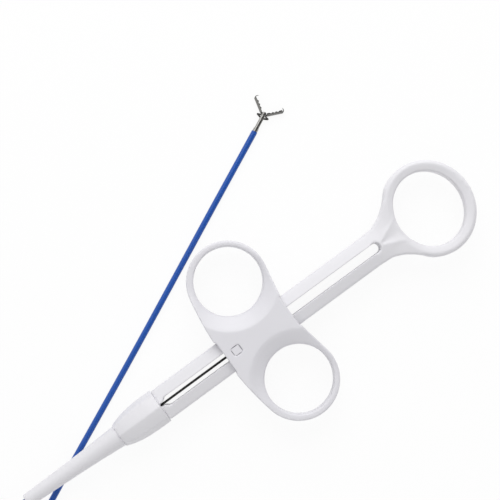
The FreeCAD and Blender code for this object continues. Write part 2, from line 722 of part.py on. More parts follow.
def make_clamp_screw():
    body = new_body("wire_clamp_screw")
    length = size("core_half_height") - size("tube_diameter") / 2 - size("pin_gap")
    shank = new_sketch(body, "screw_plan", "XY_Plane", -size("core_half_height"))
    draw_circle(shank, size("screw_radius"), size("screw_x"), ZERO)
    add_prism(body, "screw_pad", "Pad", shank, length)
    socket = new_sketch(body, "socket_plan", "XY_Plane", -size("core_half_height"))
    draw_outline(socket, polygon(SOCKET_SIDES, size("screw_socket"), size("screw_x")))
    add_prism(body, "socket", "Pocket", socket, length / 2, "One side", True)
    place(body, ZERO, ZERO, size("axis_height"))


def tube_front():
    return crimp_front() - size("tube_reach")


def make_stiffening_tube():
    body = new_body("stiffening_tube")
    rings = new_sketch(body, "tube_rings", "YZ_Plane", tube_front())
    draw_circle(rings, size("tube_diameter") / 2)
    draw_circle(rings, size("wire_diameter") / 2 + size("pin_seat_gap"))
    add_prism(body, "tube_pad", "Pad", rings, size("tube_back") - tube_front())
    place(body, ZERO, ZERO, size("axis_height"))


def make_pull_wire():
    body = new_body("pull_wire")
    front = tube_front() - size("wire_lead")
    circle = new_sketch(body, "wire_circle", "YZ_Plane", front)
    draw_circle(circle, size("wire_diameter") / 2)
    add_prism(body, "wire_pad", "Pad", circle, size("tube_back") - front)
    place(body, ZERO, ZERO, size("axis_height"))


# Sheath: straight in the strain relief, a put-away coil, and the straight run to the jaws

def make_coil():
    coil = doc.addObject("Part::Feature", "sheath_coil")
    coil.Label = "sheath_coil"
    inner = plain(size("coil_mid_radius") - size("coil_width") / 2)
    ring = Part.makeCylinder(inner + plain(size("coil_width")), plain(size("coil_height")))
    ring = ring.cut(Part.makeCylinder(inner, plain(size("coil_height"))))
    ring.translate(vec(-size("coil_x"), -size("coil_y")))
    coil.Shape = ring
    return ring


def sheath_tube(name, start, end, cuts):
    """A straight stretch of the sheath, less what is cut from it."""
    run = end - start
    tube = Part.makeCylinder(plain(size("sheath_diameter")) / 2, run.Length, start, run)
    for shape in cuts:
        tube = tube.cut(shape)
    feature = doc.addObject("Part::Feature", name)
    feature.Label = name
    feature.Shape = tube.Solids[0]


def make_sheath():
    coil = make_coil()
    level = plain(size("axis_height"))
    floor = plain(size("sheath_diameter")) / 2
    start = vec(crimp_front(), ZERO, level)
    entry = vec(-size("coil_x"), ZERO, level)
    tube_room = plain(size("tube_diameter")) / 2 + plain(size("sheath_gap"))
    near_bore = Part.makeCylinder(tube_room, plain(size("tube_bore_reach")), start, entry - start)
    sheath_tube("sheath_lead", start, entry, [coil, near_bore])

    angle = math.radians(plain(size("tip_angle")))
    along = FreeCAD.Vector(math.cos(angle), math.sin(angle), 0)
    tip = vec(size("tip_x"), size("tip_y"), floor)
    end = tip - along * plain(size("ferrule_length"))
    centre = vec(-size("coil_x"), -size("coil_y"), floor)
    leave = tip - along * (tip - centre).dot(along)
    room = Part.makeCylinder(plain(size("shank_radius")) + plain(size("cap_gap")),
                             plain(size("socket_depth")), end, along * -1)
    sheath_tube("sheath_run", leave, end, [coil, room])


# Far end: ferrule, clevis and pivot pin, in the tip's own frame with X along the sheath

def place_at_tip(body):
    place(body, size("tip_x"), size("tip_y"), size("sheath_diameter") / 2, size("tip_angle"))


def place_at_pivot(body, angle, along=ZERO, across=ZERO):
    """Put a piece's origin at a point measured from the jaw pivot, turned from the sheath's line."""
    turn = size("tip_angle")
    reach = size("pivot_reach") + along
    x = size("tip_x") + reach * turn.cosine() - across * turn.sine()
    y = size("tip_y") + reach * turn.sine() + across * turn.cosine()
    place(body, x, y, size("sheath_diameter") / 2, turn + angle)


def make_tip_ferrule():
    body = new_body("tip_ferrule")
    rings = new_sketch(body, "ferrule_rings", "YZ_Plane", -size("ferrule_length"))
    draw_circle(rings, size("ferrule_radius"))
    draw_circle(rings, size("shank_radius") + size("pin_gap"))
    add_prism(body, "ferrule_pad", "Pad", rings, size("ferrule_length"))
    place_at_tip(body)


def make_clevis():
    body = new_body("tip_clevis")
    pivot = size("pivot_reach")
    ear = size("ear_radius")
    barrel = new_sketch(body, "barrel_circle", "YZ_Plane")
    draw_circle(barrel, size("clevis_radius"))
    add_prism(body, "barrel", "Pad", barrel, pivot + ear)
    shank = new_sketch(body, "shank_circle", "YZ_Plane")
    draw_circle(shank, size("shank_radius"))
    add_prism(body, "shank", "Pad", shank, size("shank_length"), "One side", True)
    slot = new_sketch(body, "slot_side", "XZ_Plane")
    beyond = pivot + ear + size("cut_margin")
    draw_box(slot, size("clevis_base"), -(size("clevis_slot") / 2),
             beyond, size("clevis_slot") / 2)
    cut_through(body, "clevis_slot_cut", slot)
    nose = new_sketch(body, "ear_nose", "XY_Plane")
    wide = size("clevis_radius") + size("cut_margin")
    draw_outline(nose, [(pivot, wide), (pivot, ear),
                        (pivot + ear, ZERO, ear, -1), (pivot, -ear, ear, -1),
                        (pivot, -wide), (beyond, -wide), (beyond, wide)])
    cut_through(body, "ear_nose_cut", nose)
    bore = new_sketch(body, "wire_bore", "YZ_Plane")
    draw_circle(bore, size("drive_wire_radius") + size("sheath_gap"))
    cut_through(body, "wire_hole", bore)
    holes = new_sketch(body, "pivot_hole", "XY_Plane")
    draw_circle(holes, size("pivot_radius") + size("pin_seat_gap"), pivot, ZERO)
    cut_through(body, "pivot_hole_cut", holes)
    place_at_tip(body)


def add_pin(body, radius, half):
    """A round pin across the linkage, as far above its middle as below."""
    circle = new_sketch(body, "pin_circle", "XY_Plane", -half)
    draw_circle(circle, radius)
    add_prism(body, "pin_pad", "Pad", circle, half * 2)


def make_pivot_pin():
    body = new_body("jaw_pivot_pin")
    add_pin(body, size("pivot_radius"), size("pivot_half"))
    place_at_pivot(body, ZERO)


# Jaws: each is built closed, along X from its pivot, with its back on the +Y side

def tooth_line(side):
    """The line where the closed jaws meet, from the root to the end, as this jaw sees it."""
    rise = size("tooth_height") / 2
    shift = size("bite_gap") / 2
    low = shift - rise * side
    high = shift + rise * side
    points = [(size("blade_start"), high)]
    for tooth in range(TEETH):
        tip = size("first_tooth") + size("tooth_pitch") * float(tooth)
        points.append((tip - size("tooth_pitch") / 2, high))
        points.append((tip, low))
    last = size("first_tooth") + size("tooth_pitch") * (TEETH - 0.5)
    points.append((last, high))
    points.append((size("blade_end"), high))
    return points


def add_claw(body, name, low, high):
    """A curved claw at the blade's end, between two heights."""
    plan = new_sketch(body, name + "_plan", "XY_Plane", low)
    back = size("blade_radius")
    draw_outline(plan, [
        (size("claw_root_x"), back - size("claw_heel")),
        (size("blade_end") - size("claw_toe"), size("claw_throat")),
        (size("blade_end"), size("claw_throat")),
        (size("claw_tip_x"), -size("claw_tip_y"), size("claw_hollow"), -1),
        (size("claw_root_x"), back, size("claw_curve"), 1)])
    add_prism(body, name, "Pad", plan, high - low)


def make_jaw(name, side):
    """side is 1 for the left jaw, with one claw, and -1 for the right jaw, with two."""
    body = new_body(name)
    radius = size("blade_radius")
    start = size("blade_start")
    blade = new_sketch(body, "blade_side", "XY_Plane")
    draw_outline(blade, [(start, radius)] + tooth_line(side) + [(size("blade_end"), radius)])
    add_prism(body, "blade", "Pad", blade, radius * 2, "Symmetric")
    if side > 0:
        add_claw(body, "claw", -size("claw_half"), size("claw_half"))
    else:
        add_claw(body, "upper_claw", size("claw_inner"), size("claw_outer"))
        add_claw(body, "lower_claw", -size("claw_outer"), -size("claw_inner"))
    waste = new_sketch(body, "back_waste", "XY_Plane")
    draw_box(waste, ZERO, radius, size("blade_end") + size("cut_margin"), radius * 2)
    add_turning(body, "half_round_back", "Groove", waste, "H_Axis")
    channel = new_sketch(body, "channel_circle", "YZ_Plane", size("channel_start"))
    draw_circle(channel, size("channel_radius"))
    add_prism(body, "channel", "Pocket", channel, size("channel_end") - size("channel_start"),
              "One side", True)

    low = size("leaf_gap") / 2
    leaf = new_sketch(body, "leaf_plan", "XY_Plane", low)
    draw_circle(leaf, size("boss_radius"))
    add_prism(body, "leaf_boss", "Pad", leaf, size("leaf_thickness"))
    neck = new_sketch(body, "neck_plan", "XY_Plane", low)
    edge = size("bite_gap") / 2 + size("tooth_height") / 2
    draw_outline(neck, [(size("neck_end"), edge), (size("neck_end"), size("neck_back")),
                        (ZERO, size("boss_radius")), (ZERO, ZERO), (size("neck_corner"), edge)])
    add_prism(body, "neck", "Pad", neck, size("leaf_thickness"))

    closed = size("tail_angle") - size("jaw_swing")
    tail_x = -(size("tail_length") * closed.cosine())
    tail_y = -(size("tail_length") * closed.sine())
    across_x = closed.sine() * size("tail_waist") / 2
    across_y = closed.cosine() * size("tail_waist") / 2
    tail = new_sketch(body, "tail_plan", "XY_Plane", low)
    draw_outline(tail, [(across_x, -across_y), (-across_x, across_y),
                        (tail_x - across_x, tail_y + across_y),
                        (tail_x + across_x, tail_y - across_y)])
    add_prism(body, "tail", "Pad", tail, size("leaf_thickness"))
    boss = new_sketch(body, "tail_boss_plan", "XY_Plane", low)
    draw_circle(boss, size("tail_boss_radius"), tail_x, tail_y)
    add_prism(body, "tail_boss", "Pad", boss, size("leaf_thickness"))
    holes = new_sketch(body, "leaf_holes", "XY_Plane")
    draw_circle(holes, size("pivot_radius") + size("pin_gap"))
    cut_through(body, "pivot_bore", holes)
    rivet = new_sketch(body, "rivet_hole", "XY_Plane")
    draw_circle(rivet, size("rivet_radius") + size("pin_seat_gap"), tail_x, tail_y)
    cut_through(body, "rivet_bore", rivet)
    place_at_pivot(body, size("jaw_swing") * side)
    if side < 0:
        over = FreeCAD.Rotation(FreeCAD.Vector(1, 0, 0), 180)
        angle = (size("tip_angle") - size("jaw_swing")).number
        body.setExpression("Placement.Rotation.Angle", None)
        turned = FreeCAD.Rotation(UP, angle).multiply(over)
        body.Placement = FreeCAD.Placement(body.Placement.Base, turned)


def make_link(name, side):
    """A flat link from its rivet, at the origin, to the drive pin, along X."""
    body = new_body(name)
    lift = -(size("leaf_gap") / 2 + size("leaf_thickness")) if side > 0 else size("leaf_gap") / 2
    bar = new_sketch(body, name + "_bar", "XY_Plane", lift)
    end = size("tail_boss_radius")
    draw_slot(bar, -end, size("tail_length") + end, end)
    add_prism(body, "bar", "Pad", bar, size("leaf_thickness"))
    holes = new_sketch(body, "link_holes", "XY_Plane")
    draw_circle(holes, size("rivet_radius") + size("pin_gap"))
    draw_circle(holes, size("rivet_radius") + size("pin_gap"), size("tail_length"), ZERO)
    cut_through(body, "link_bores", holes)
    along, across = rivet_place(side)
    angle = Size(180.0, "180") - size("tail_angle") * side
    place_at_pivot(body, angle, along, across)


def rivet_place(side):
    """Where a jaw's link rivet is from the pivot, with the jaws open."""
    along = -(size("tail_length") * size("tail_angle").cosine())
    across = -(size("tail_length") * size("tail_angle").sine()) * side
    return along, across


def make_rivet(name, side):
    """A flush rivet through a jaw's tail and its link."""
    body = new_body(name)
    half = size("leaf_gap") / 2 + size("leaf_thickness") + size("pin_seat_gap")
    add_pin(body, size("rivet_radius"), half)
    along, across = rivet_place(side)
    place_at_pivot(body, ZERO, along, across)


def drive_pin_reach():
    """From the jaw pivot back to the drive pin, with the jaws open."""
    return size("tail_length") * size("tail_angle").cosine() * 2


def fork_inside():
    return size("leaf_gap") / 2 + size("leaf_thickness") + size("fork_gap")


def make_drive_pin():
    body = new_body("drive_pin")
    add_pin(body, size("rivet_radius"), fork_inside() + size("fork_plate"))
    place_at_pivot(body, ZERO, -drive_pin_reach())


def make_drive_fork():
    """The fork that carries the drive pin, from its nose back to the wire's socket."""
    body = new_body("drive_fork")
    nose = size("fork_radius")
    back = -(size("fork_length") + size("fork_root"))
    half = fork_inside() + size("fork_plate")
    plan = new_sketch(body, "fork_plan", "XY_Plane")
    draw_outline(plan, [(back, -nose), (ZERO, -nose), (nose, ZERO, nose, 1),
                        (ZERO, nose, nose, 1), (back, nose)])
    add_prism(body, "fork_pad", "Pad", plan, half * 2, "Symmetric")
    gap = new_sketch(body, "fork_gap_side", "XZ_Plane")
    draw_box(gap, -size("fork_length"), -fork_inside(), nose + size("cut_margin"), fork_inside())
    cut_through(body, "fork_gap_cut", gap)
    play = new_sketch(body, "fork_slot_plan", "XY_Plane")
    slot = size("rivet_radius") + size("pin_gap")
    draw_slot(play, -(size("fork_play") + slot), slot, slot)
    cut_through(body, "fork_slot_cut", play)
    place_at_pivot(body, ZERO, -drive_pin_reach())


def make_drive_wire():
    body = new_body("drive_wire")
    back = size("fork_length") + size("fork_root")
    length = size("pivot_reach") - drive_pin_reach() - back + size("drive_wire_reach")
    circle = new_sketch(body, "drive_wire_circle", "YZ_Plane", -back)
    draw_circle(circle, size("drive_wire_radius"))
    add_prism(body, "drive_wire_pad", "Pad", circle, length, "One side", True)
    place_at_pivot(body, ZERO, -drive_pin_reach())


def main():
    make_handle_frame()
    make_nose_cap()
    make_strain_relief()
    make_stem_bush()
    make_sheath_crimp()
    make_finger_spool()
    make_slider_core()
    make_clamp_screw()
    make_stiffening_tube()
    make_pull_wire()
    make_sheath()
    make_tip_ferrule()
    make_clevis()
    make_pivot_pin()
    for name, side in (("left", 1), ("right", -1)):
        make_jaw("jaw_" + name, side)
        make_link("link_" + name, side)
        make_rivet("link_rivet_" + name, side)
    make_drive_pin()
    make_drive_fork()
    make_drive_wire()
    doc.recompute()
    write_parts()


def write_parts():
    """Check every object, then write each piece's shape under its own name."""
    for item in doc.Objects:
        if "Invalid" in item.State or "Error" in item.State:
            raise ValueError("%s failed to build" % item.Name)
    os.makedirs("parts", exist_ok=True)
    pieces = [item for item in doc.Objects
              if item.TypeId == "PartDesign::Body" or item.TypeId == "Part::Feature"]
    for piece in pieces:
        shape = piece.Shape
        if shape.isNull() or not shape.isValid():
            raise ValueError("%s has no valid shape" % piece.Label)
        print("%-20s %d solid(s) %10.3f mm3" % (piece.Label, len(shape.Solids), shape.Volume))
        shape.exportStep("parts/%s.step" % piece.Label)


main()
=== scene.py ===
"""Foreign body forceps: the looks of its handle, finger spool, sheath and jaws."""

import math

import bmesh
import bpy
from mathutils import Matrix, Vector


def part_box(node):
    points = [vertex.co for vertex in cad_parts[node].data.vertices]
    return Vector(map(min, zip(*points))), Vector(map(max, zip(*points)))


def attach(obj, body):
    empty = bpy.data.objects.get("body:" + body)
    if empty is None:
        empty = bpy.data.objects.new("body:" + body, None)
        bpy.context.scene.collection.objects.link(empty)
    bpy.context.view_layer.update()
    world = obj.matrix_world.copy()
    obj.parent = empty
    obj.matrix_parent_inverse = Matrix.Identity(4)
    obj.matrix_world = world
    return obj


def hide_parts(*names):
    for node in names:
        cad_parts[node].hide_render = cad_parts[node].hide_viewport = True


bl_info = {
    "name": "Foreign body forceps",
    "version": (1, 0, 0),
    "blender": (4, 5, 0),
    "location": "View3D > Sidebar > Forceps",
    "description": "Dresses the forceps: moulded handle, coiled sheath, steel jaws and a stage",
    "category": "Object",
}

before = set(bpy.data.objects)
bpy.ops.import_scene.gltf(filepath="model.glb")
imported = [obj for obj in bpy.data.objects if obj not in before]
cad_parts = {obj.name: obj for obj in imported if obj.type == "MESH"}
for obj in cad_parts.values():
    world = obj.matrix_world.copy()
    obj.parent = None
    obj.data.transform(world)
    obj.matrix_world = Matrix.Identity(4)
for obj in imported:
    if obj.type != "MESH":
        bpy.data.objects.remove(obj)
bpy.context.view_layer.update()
MM = 0.001


def srgb(red, green, blue):
    """A colour as a screen shows it, 0 to 255, as the linear values that shaders take."""
    shares = [value / 255 for value in (red, green, blue)]
    return [s / 12.92 if s <= 0.04045 else ((s + 0.055) / 1.055) ** 2.4 for s in shares]


class ForcepsSizes(bpy.types.PropertyGroup):
    axis_height: bpy.props.FloatProperty(
        name="Axis height", description="Handle's axis above the surface it lies on",
        default=7.2 * MM, unit="LENGTH")
    frame_voxel: bpy.props.FloatProperty(
        name="Frame grain", description="Face size of the handle frame's moulded skin",
        default=0.4 * MM, unit="LENGTH")
    spool_voxel: bpy.props.FloatProperty(
        name="Spool grain", description="Face size of the finger spool's moulded skin",
        default=0.36 * MM, unit="LENGTH")
    frame_softness: bpy.props.IntProperty(
        name="Frame softness", description="How often the frame's skin is smoothed", default=6)
    spool_softness: bpy.props.IntProperty(
        name="Spool softness", description="How often the spool's skin is smoothed", default=4)
    ring_rounding: bpy.props.FloatProperty(
        name="Ring rounding", description="Rounding of the finger rings at their holes",
        default=0.5 * MM, unit="LENGTH")
    cap_rounding: bpy.props.FloatProperty(
        name="Cap rounding", description="Rounding of the nose cap's corners",
        default=0.45 * MM, unit="LENGTH")
    relief_rounding: bpy.props.FloatProperty(
        name="Strain relief's rounding", description="Rounding of the boot's end",
        default=0.4 * MM, unit="LENGTH")
    relief_reach: bpy.props.FloatProperty(
        name="Strain relief's length", description="Length of the boot's solid past its shoulder",
        default=52.5 * MM, unit="LENGTH")
    relief_bow: bpy.props.FloatProperty(
        name="Strain relief's bow", description="Bend to the side at the end of the boot's solid",
        default=1.05 * MM, unit="LENGTH")
    sheath_diameter: bpy.props.FloatProperty(
        name="Sheath", description="Sheath's outside diameter", default=2.3 * MM, unit="LENGTH")
    sheath_length: bpy.props.FloatProperty(
        name="Working length", description="Sheath from the strain relief to the jaws",
        default=1.6, unit="LENGTH")


class ForcepsColours(bpy.types.PropertyGroup):
    plastic: bpy.props.FloatVectorProperty(
        name="Handle", description="White satin plastic", subtype="COLOR", size=3,
        default=srgb(229, 228, 232))
    spool: bpy.props.FloatVectorProperty(
        name="Spool", description="The spool's slightly darker plastic", subtype="COLOR",
        size=3, default=srgb(226, 225, 230))
    sheath: bpy.props.FloatVectorProperty(
        name="Sheath", description="Blue coating of the sheath", subtype="COLOR", size=3,
        default=srgb(18, 78, 166))
    steel: bpy.props.FloatVectorProperty(
        name="Steel", description="Polished stainless steel", subtype="COLOR", size=3,
        default=srgb(160, 159, 156))
    brass: bpy.props.FloatVectorProperty(
        name="Brass", description="Turned bush and crimp sleeve", subtype="COLOR", size=3,
        default=srgb(206, 178, 118))
    floor: bpy.props.FloatVectorProperty(
        name="Floor", description="Pale floor", subtype="COLOR", size=3,
        default=srgb(250, 250, 250))


class Term:
    """A number that a socket gives, with Python's sums on it."""

    def __init__(self, finish, socket):
        self.finish = finish
        self.socket = socket

    def sum(self, operation, first, second):
        node = self.finish.node("ShaderNodeMath", {"operation": operation},
                                {0: first, 1: second})
        return Term(self.finish, node.outputs[0])

    def __add__(self, other):
        return self.sum("ADD", self, other)

    __radd__ = __add__

    def __mul__(self, other):
        return self.sum("MULTIPLY", self, other)


class Finish:
    """A material, or a world, and its nodes."""

    def __init__(self, name, kind="materials"):
        self.material = getattr(bpy.data, kind).new(name)
        self.material.use_nodes = True
        self.tree = self.material.node_tree
        self.tree.nodes.clear()
        self.place = self.node("ShaderNodeTexCoord").outputs["Object"]

    def node(self, kind, settings=None, inputs=None):
        """Add a node: its settings first, then the values or links of its sockets."""
        made = self.tree.nodes.new(kind)
        for name, value in (settings or {}).items():
            setattr(made, name, value)
        for name, value in (inputs or {}).items():
            if isinstance(value, Term):
                value = value.socket
            if isinstance(value, bpy.types.NodeSocket):
                self.tree.links.new(value, made.inputs[name])
            else:
                made.inputs[name].default_value = value
        return made

    def seen_directly(self):
        """1 where the camera, a reflection or a clear piece shows this, and 0 for its light."""
        path = self.node("ShaderNodeLightPath")
        total = Term(self, path.outputs["Is Camera Ray"])
        for kind in ("Is Glossy Ray", "Is Transmission Ray"):
            total = total.sum("MAXIMUM", total, Term(self, path.outputs[kind]))
        return total

    def noise(self, scale, detail=2.0, stretch=None):
        """Noise, finer with a larger scale and along the axes that it is stretched by."""
        place = self.place
        if stretch:
            place = self.node("ShaderNodeMapping", None,
                              {"Vector": place, "Scale": stretch}).outputs["Vector"]
        made = self.node("ShaderNodeTexNoise", None,
                         {"Vector": place, "Scale": scale, "Detail": detail})
        return Term(self, made.outputs["Fac"])

    def tinted(self, colour, other, share):
        """One colour that turns into another by a share."""
        made = self.node("ShaderNodeMix", {"data_type": "RGBA"})
        self.tree.links.new(share.socket, made.inputs["Factor"])
        for socket, value in ((made.inputs[6], colour), (made.inputs[7], other)):
            socket.default_value = (*value, 1.0)
        return made.outputs[2]

    def bump(self, height, strength, distance):
        made = self.node("ShaderNodeBump", None,
                         {"Height": height, "Strength": strength, "Distance": distance})
        return made.outputs["Normal"]

    def finish(self, settings):
        """The one surface shader, and the output."""
        surface = self.node("ShaderNodeBsdfPrincipled", None, settings)
        self.node("ShaderNodeOutputMaterial", None, {"Surface": surface.outputs["BSDF"]})
        return self.material


def shaded(colour, factor):
    return [min(1.0, value * factor) for value in colour]


def moulded_plastic(name, colour):
    """Satin plastic: a fine moulded grain and a faint unevenness in its gloss."""
    made = Finish(name)
    cloud = made.noise(90.0, detail=3.0)
    grain = made.noise(5200.0)
    waves = made.noise(260.0, detail=1.0)
    return made.finish({
        "Base Color": made.tinted(shaded(colour, 0.985), shaded(colour, 1.015), cloud),
        "Roughness": 0.36 + cloud * 0.12,
        "Normal": made.bump(grain * 0.6 + waves * 2.0, strength=0.12, distance=0.02 * MM),
        "Specular IOR Level": 0.45})


def sheath_coating(name, colour):
    """Smooth blue coating, with a slight waviness over the wound wire below it."""
    made = Finish(name)
    cloud = made.noise(60.0)
    skin = made.noise(900.0, detail=1.0)
    return made.finish({
        "Base Color": made.tinted(shaded(colour, 0.94), shaded(colour, 1.06), cloud),
        "Roughness": 0.3 + skin * 0.06,
        "Normal": made.bump(skin, strength=0.05, distance=0.01 * MM),
        "Specular IOR Level": 0.5})


def polished_steel(name, colour, stretch):
    """Steel with fine drawing marks."""
    made = Finish(name)
    marks = made.noise(1.0, detail=3.0, stretch=stretch)
    cloud = made.noise(700.0)
    return made.finish({
        "Base Color": made.tinted(shaded(colour, 0.86), shaded(colour, 1.06), marks),
        "Metallic": 1.0,
        "Roughness": 0.16 + marks * 0.16 + cloud * 0.08,
        "Normal": made.bump(marks, strength=0.15, distance=0.01 * MM)})


def turned_brass(name, colour):
    """Brass with the fine rings that a lathe leaves around the handle's axis."""
    made = Finish(name)
    rings = made.noise(1.0, stretch=(9000.0, 300.0, 300.0))
    return made.finish({
        "Base Color": made.tinted(shaded(colour, 0.9), shaded(colour, 1.05), rings),
        "Metallic": 1.0,
        "Roughness": 0.22 + rings * 0.15,
        "Normal": made.bump(rings, strength=0.2, distance=0.01 * MM)})


def floor_card(name, colour, whiteness):
    """Pale card that keeps a faint shadow: most of what is seen of it is even white."""
    made = Finish(name)
    cloud = made.noise(14.0)
    card = made.node("ShaderNodeBsdfDiffuse", None, {
        "Color": made.tinted(shaded(colour, 0.995), colour, cloud)})
    white = made.node("ShaderNodeEmission", None, {"Color": (1, 1, 1, 1), "Strength": 1.0})
    seen = made.node("ShaderNodeMixShader", None, {
        0: made.seen_directly() * whiteness,
        1: card.outputs["BSDF"], 2: white.outputs["Emission"]})
    made.node("ShaderNodeOutputMaterial", None, {"Surface": seen.outputs["Shader"]})
    return made.material


# The dark ceiling panel: its direction, the cosines at its soft edge, and its brightness
PANEL_TOWARDS = (0.2, -0.42, 0.9)
PANEL_EDGE = (0.62, 0.76)
PANEL_BRIGHTNESS = 0.1


def studio(name, light):
    """A white room, in which metal also mirrors a dark ceiling panel beyond the lamps."""
    made = Finish(name, "worlds")
    towards = made.node("ShaderNodeVectorMath", {"operation": "DOT_PRODUCT"},
                        {0: made.place, 1: Vector(PANEL_TOWARDS).normalized()})
    ramp = made.node("ShaderNodeMapRange", {"interpolation_type": "SMOOTHSTEP"}, {
        "Value": towards.outputs["Value"], "From Min": PANEL_EDGE[0], "From Max": PANEL_EDGE[1],
        "To Min": 1.0, "To Max": PANEL_BRIGHTNESS})
    mirrored = made.node("ShaderNodeBackground", None, {
        "Color": (1, 1, 1, 1), "Strength": ramp.outputs["Result"]})
    shining = made.node("ShaderNodeBackground", None, {
        "Color": (1, 1, 1, 1), "Strength": light})
    both = made.node("ShaderNodeMixShader", None, {
        0: made.seen_directly(), 1: shining.outputs["Background"],
        2: mirrored.outputs["Background"]})
    made.node("ShaderNodeOutputWorld", None, {"Surface": both.outputs["Shader"]})
    return made.material


def give(obj, material):
    obj.data.materials.clear()
    obj.data.materials.append(material)


def deselect():
    bpy.ops.object.select_all(action="DESELECT")


def activate(obj):
    deselect()
    obj.select_set(True)
    bpy.context.view_layer.objects.active = obj


def select_edges(obj, wanted):
    """In edit mode, select the edges for which wanted(edge) is true, and nothing else."""
    bpy.ops.mesh.select_mode(type="EDGE")
    bpy.ops.mesh.select_all(action="DESELECT")
    mesh = bmesh.from_edit_mesh(obj.data)
    for edge in mesh.edges:
        if wanted(edge):
            edge.select = True
    mesh.select_flush_mode()
    bmesh.update_edit_mesh(obj.data)


def apply_modifier(obj, kind, settings):
    modifier = obj.modifiers.new(kind.lower(), kind)
    for name, value in settings.items():
        setattr(modifier, name, value)
    bpy.ops.object.modifier_apply(modifier=modifier.name)


def smooth_by_angle(obj, degrees):
    activate(obj)
    bpy.ops.object.shade_smooth_by_angle(angle=math.radians(degrees))


def merged_copy(name, node):
    """A copy of a CAD node's mesh under a name of its own, with its loose triangles joined."""
    obj = bpy.data.objects.new(name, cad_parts[node].data.copy())
    bpy.context.scene.collection.objects.link(obj)
    activate(obj)
    bpy.ops.object.mode_set(mode="EDIT")
    bpy.ops.mesh.select_all(action="SELECT")
    bpy.ops.mesh.remove_doubles(threshold=0.002 * MM)
    bpy.ops.mesh.dissolve_limited(angle_limit=math.radians(0.6))
    bpy.ops.object.mode_set(mode="OBJECT")
    return obj


def mould(obj, grain, softness, reform):
    """Turn the mesh into one even skin, move its points, and soften its edges, as a mould does."""
    activate(obj)
    apply_modifier(obj, "REMESH", {"mode": "VOXEL", "voxel_size": grain})
    for vertex in obj.data.vertices:
        vertex.co = reform(vertex.co)
    apply_modifier(obj, "REMESH", {"mode": "VOXEL", "voxel_size": grain})
    apply_modifier(obj, "SMOOTH", {"factor": 0.5, "iterations": softness})
    bpy.ops.object.shade_smooth()


def dress(obj, body, nodes, material):
    """Put a finished piece on its body, in place of the nodes that it stands for."""
    give(obj, material)
    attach(obj, body)
    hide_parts(*nodes)


def drawn_along(name, sides, sections, height):
    """A shape drawn along the handle's axis: rings of so many sides at (x, radius)."""
    before_x, before_radius = sections[0]
    deselect()
    bpy.ops.mesh.primitive_circle_add(
        vertices=sides, radius=before_radius, fill_type="NGON",
        location=(before_x, 0, height), rotation=(0, math.pi / 2, 0))
    obj = bpy.context.object
    obj.name = name
    bpy.ops.object.transform_apply(location=True, rotation=True, scale=True)
    bpy.ops.object.mode_set(mode="EDIT")
    bpy.ops.mesh.select_all(action="SELECT")
    for x, radius in sections[1:]:
        bpy.ops.mesh.extrude_region_move(TRANSFORM_OT_translate={"value": (x - before_x, 0, 0)})
        ratio = radius / before_radius
        bpy.ops.transform.resize(value=(1, ratio, ratio), center_override=(x, 0, height))
        before_x, before_radius = x, radius
    bpy.ops.mesh.select_all(action="SELECT")
    bpy.ops.mesh.normals_make_consistent(inside=False)
    bpy.ops.object.mode_set(mode="OBJECT")
    return obj


def bevel_sharp(obj, width, segments, degrees):
    """Round every edge that turns by more than some degrees."""
    activate(obj)
    bpy.ops.object.mode_set(mode="EDIT")
    bpy.ops.mesh.select_mode(type="EDGE")
    bpy.ops.mesh.select_all(action="DESELECT")
    bpy.ops.mesh.edges_select_sharp(sharpness=math.radians(degrees))
    bpy.ops.mesh.bevel(offset=width, segments=segments, profile=0.5, affect="EDGES")
    bpy.ops.object.mode_set(mode="OBJECT")


def eased(value, start, end):
    """0 before start, 1 after end, and a soft change between them."""
    share = max(0.0, min(1.0, (value - start) / (end - start)))
    return share * share * (3 - 2 * share)


def between(table, value):
    """A value from a short table of (place, value), straight between its rows."""
    for (start, low), (end, high) in zip(table, table[1:]):
        if value <= end:
            return low + (high - low) * max(0.0, value - start) / (end - start)
    return table[-1][1]


def mid(node):
    low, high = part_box(node)
    return (low + high) / 2


# Lengths are in mm, with x along the handle and heights from its axis.
# The neck's width, as a share of the solid's, by x
NECK_WAIST = ((51.5, 1.0), (54.0, 0.935), (57.0, 0.893), (60.0, 0.877), (63.0, 0.911),
              (66.0, 0.984), (67.5, 1.0))
# Distances from the axis between which the waist starts to pull in
WAIST_FROM, WAIST_FULL = 2.5, 5.5
# Half heights of the neck's two arms, by x
NECK_RIDGE = ((51.0, 5.5), (64.5, 4.0))
# The dish between the arms: where it starts, how far it goes on, and its shape
DISH_START, DISH_LENGTH, DISH_REACH = 54.3, 9.4, 1.4
DISH_HALF_WIDTH, DISH_WIDENING = 0.7, 4.9
DISH_FLOOR, DISH_FALL, DISH_CURVE = 4.5, 1.15, 1.5
# The solid's plain groove below the dish, which widens and falls along its length
GROOVE_START, GROOVE_LENGTH = 54.2, 12
GROOVE_HALF_WIDTH, GROOVE_WIDENING = 0.33, 6.27
GROOVE_FLOOR, GROOVE_FALL, GROOVE_TOP = 3.3, 1.8, 6.5
# Points this near to the axis's height, or this deep below the skin, stay
SLOT_HALF_HEIGHT, SKIN_DEPTH = 1.2, 0.4
# The thumb hole: its middle, its half length and half width, and the wall as a share of them
THUMB_X, THUMB_HALF_LENGTH, THUMB_HALF_WIDTH, THUMB_WALL = 76.6, 13.1, 14.45, 0.298
# Where the neck turns into the thumb ring
RING_FROM, RING_FULL = 60.0, 66.0
# Half heights across the ring's wall, from its hole outwards: the solid's, and the skin's
RING_SOLID = ((0.0, 2.7), (0.317, 4.0), (0.683, 4.0), (1.0, 2.7))
RING_SKIN = ((0.0, 3.05), (0.72, 4.0), (1.0, 2.9))


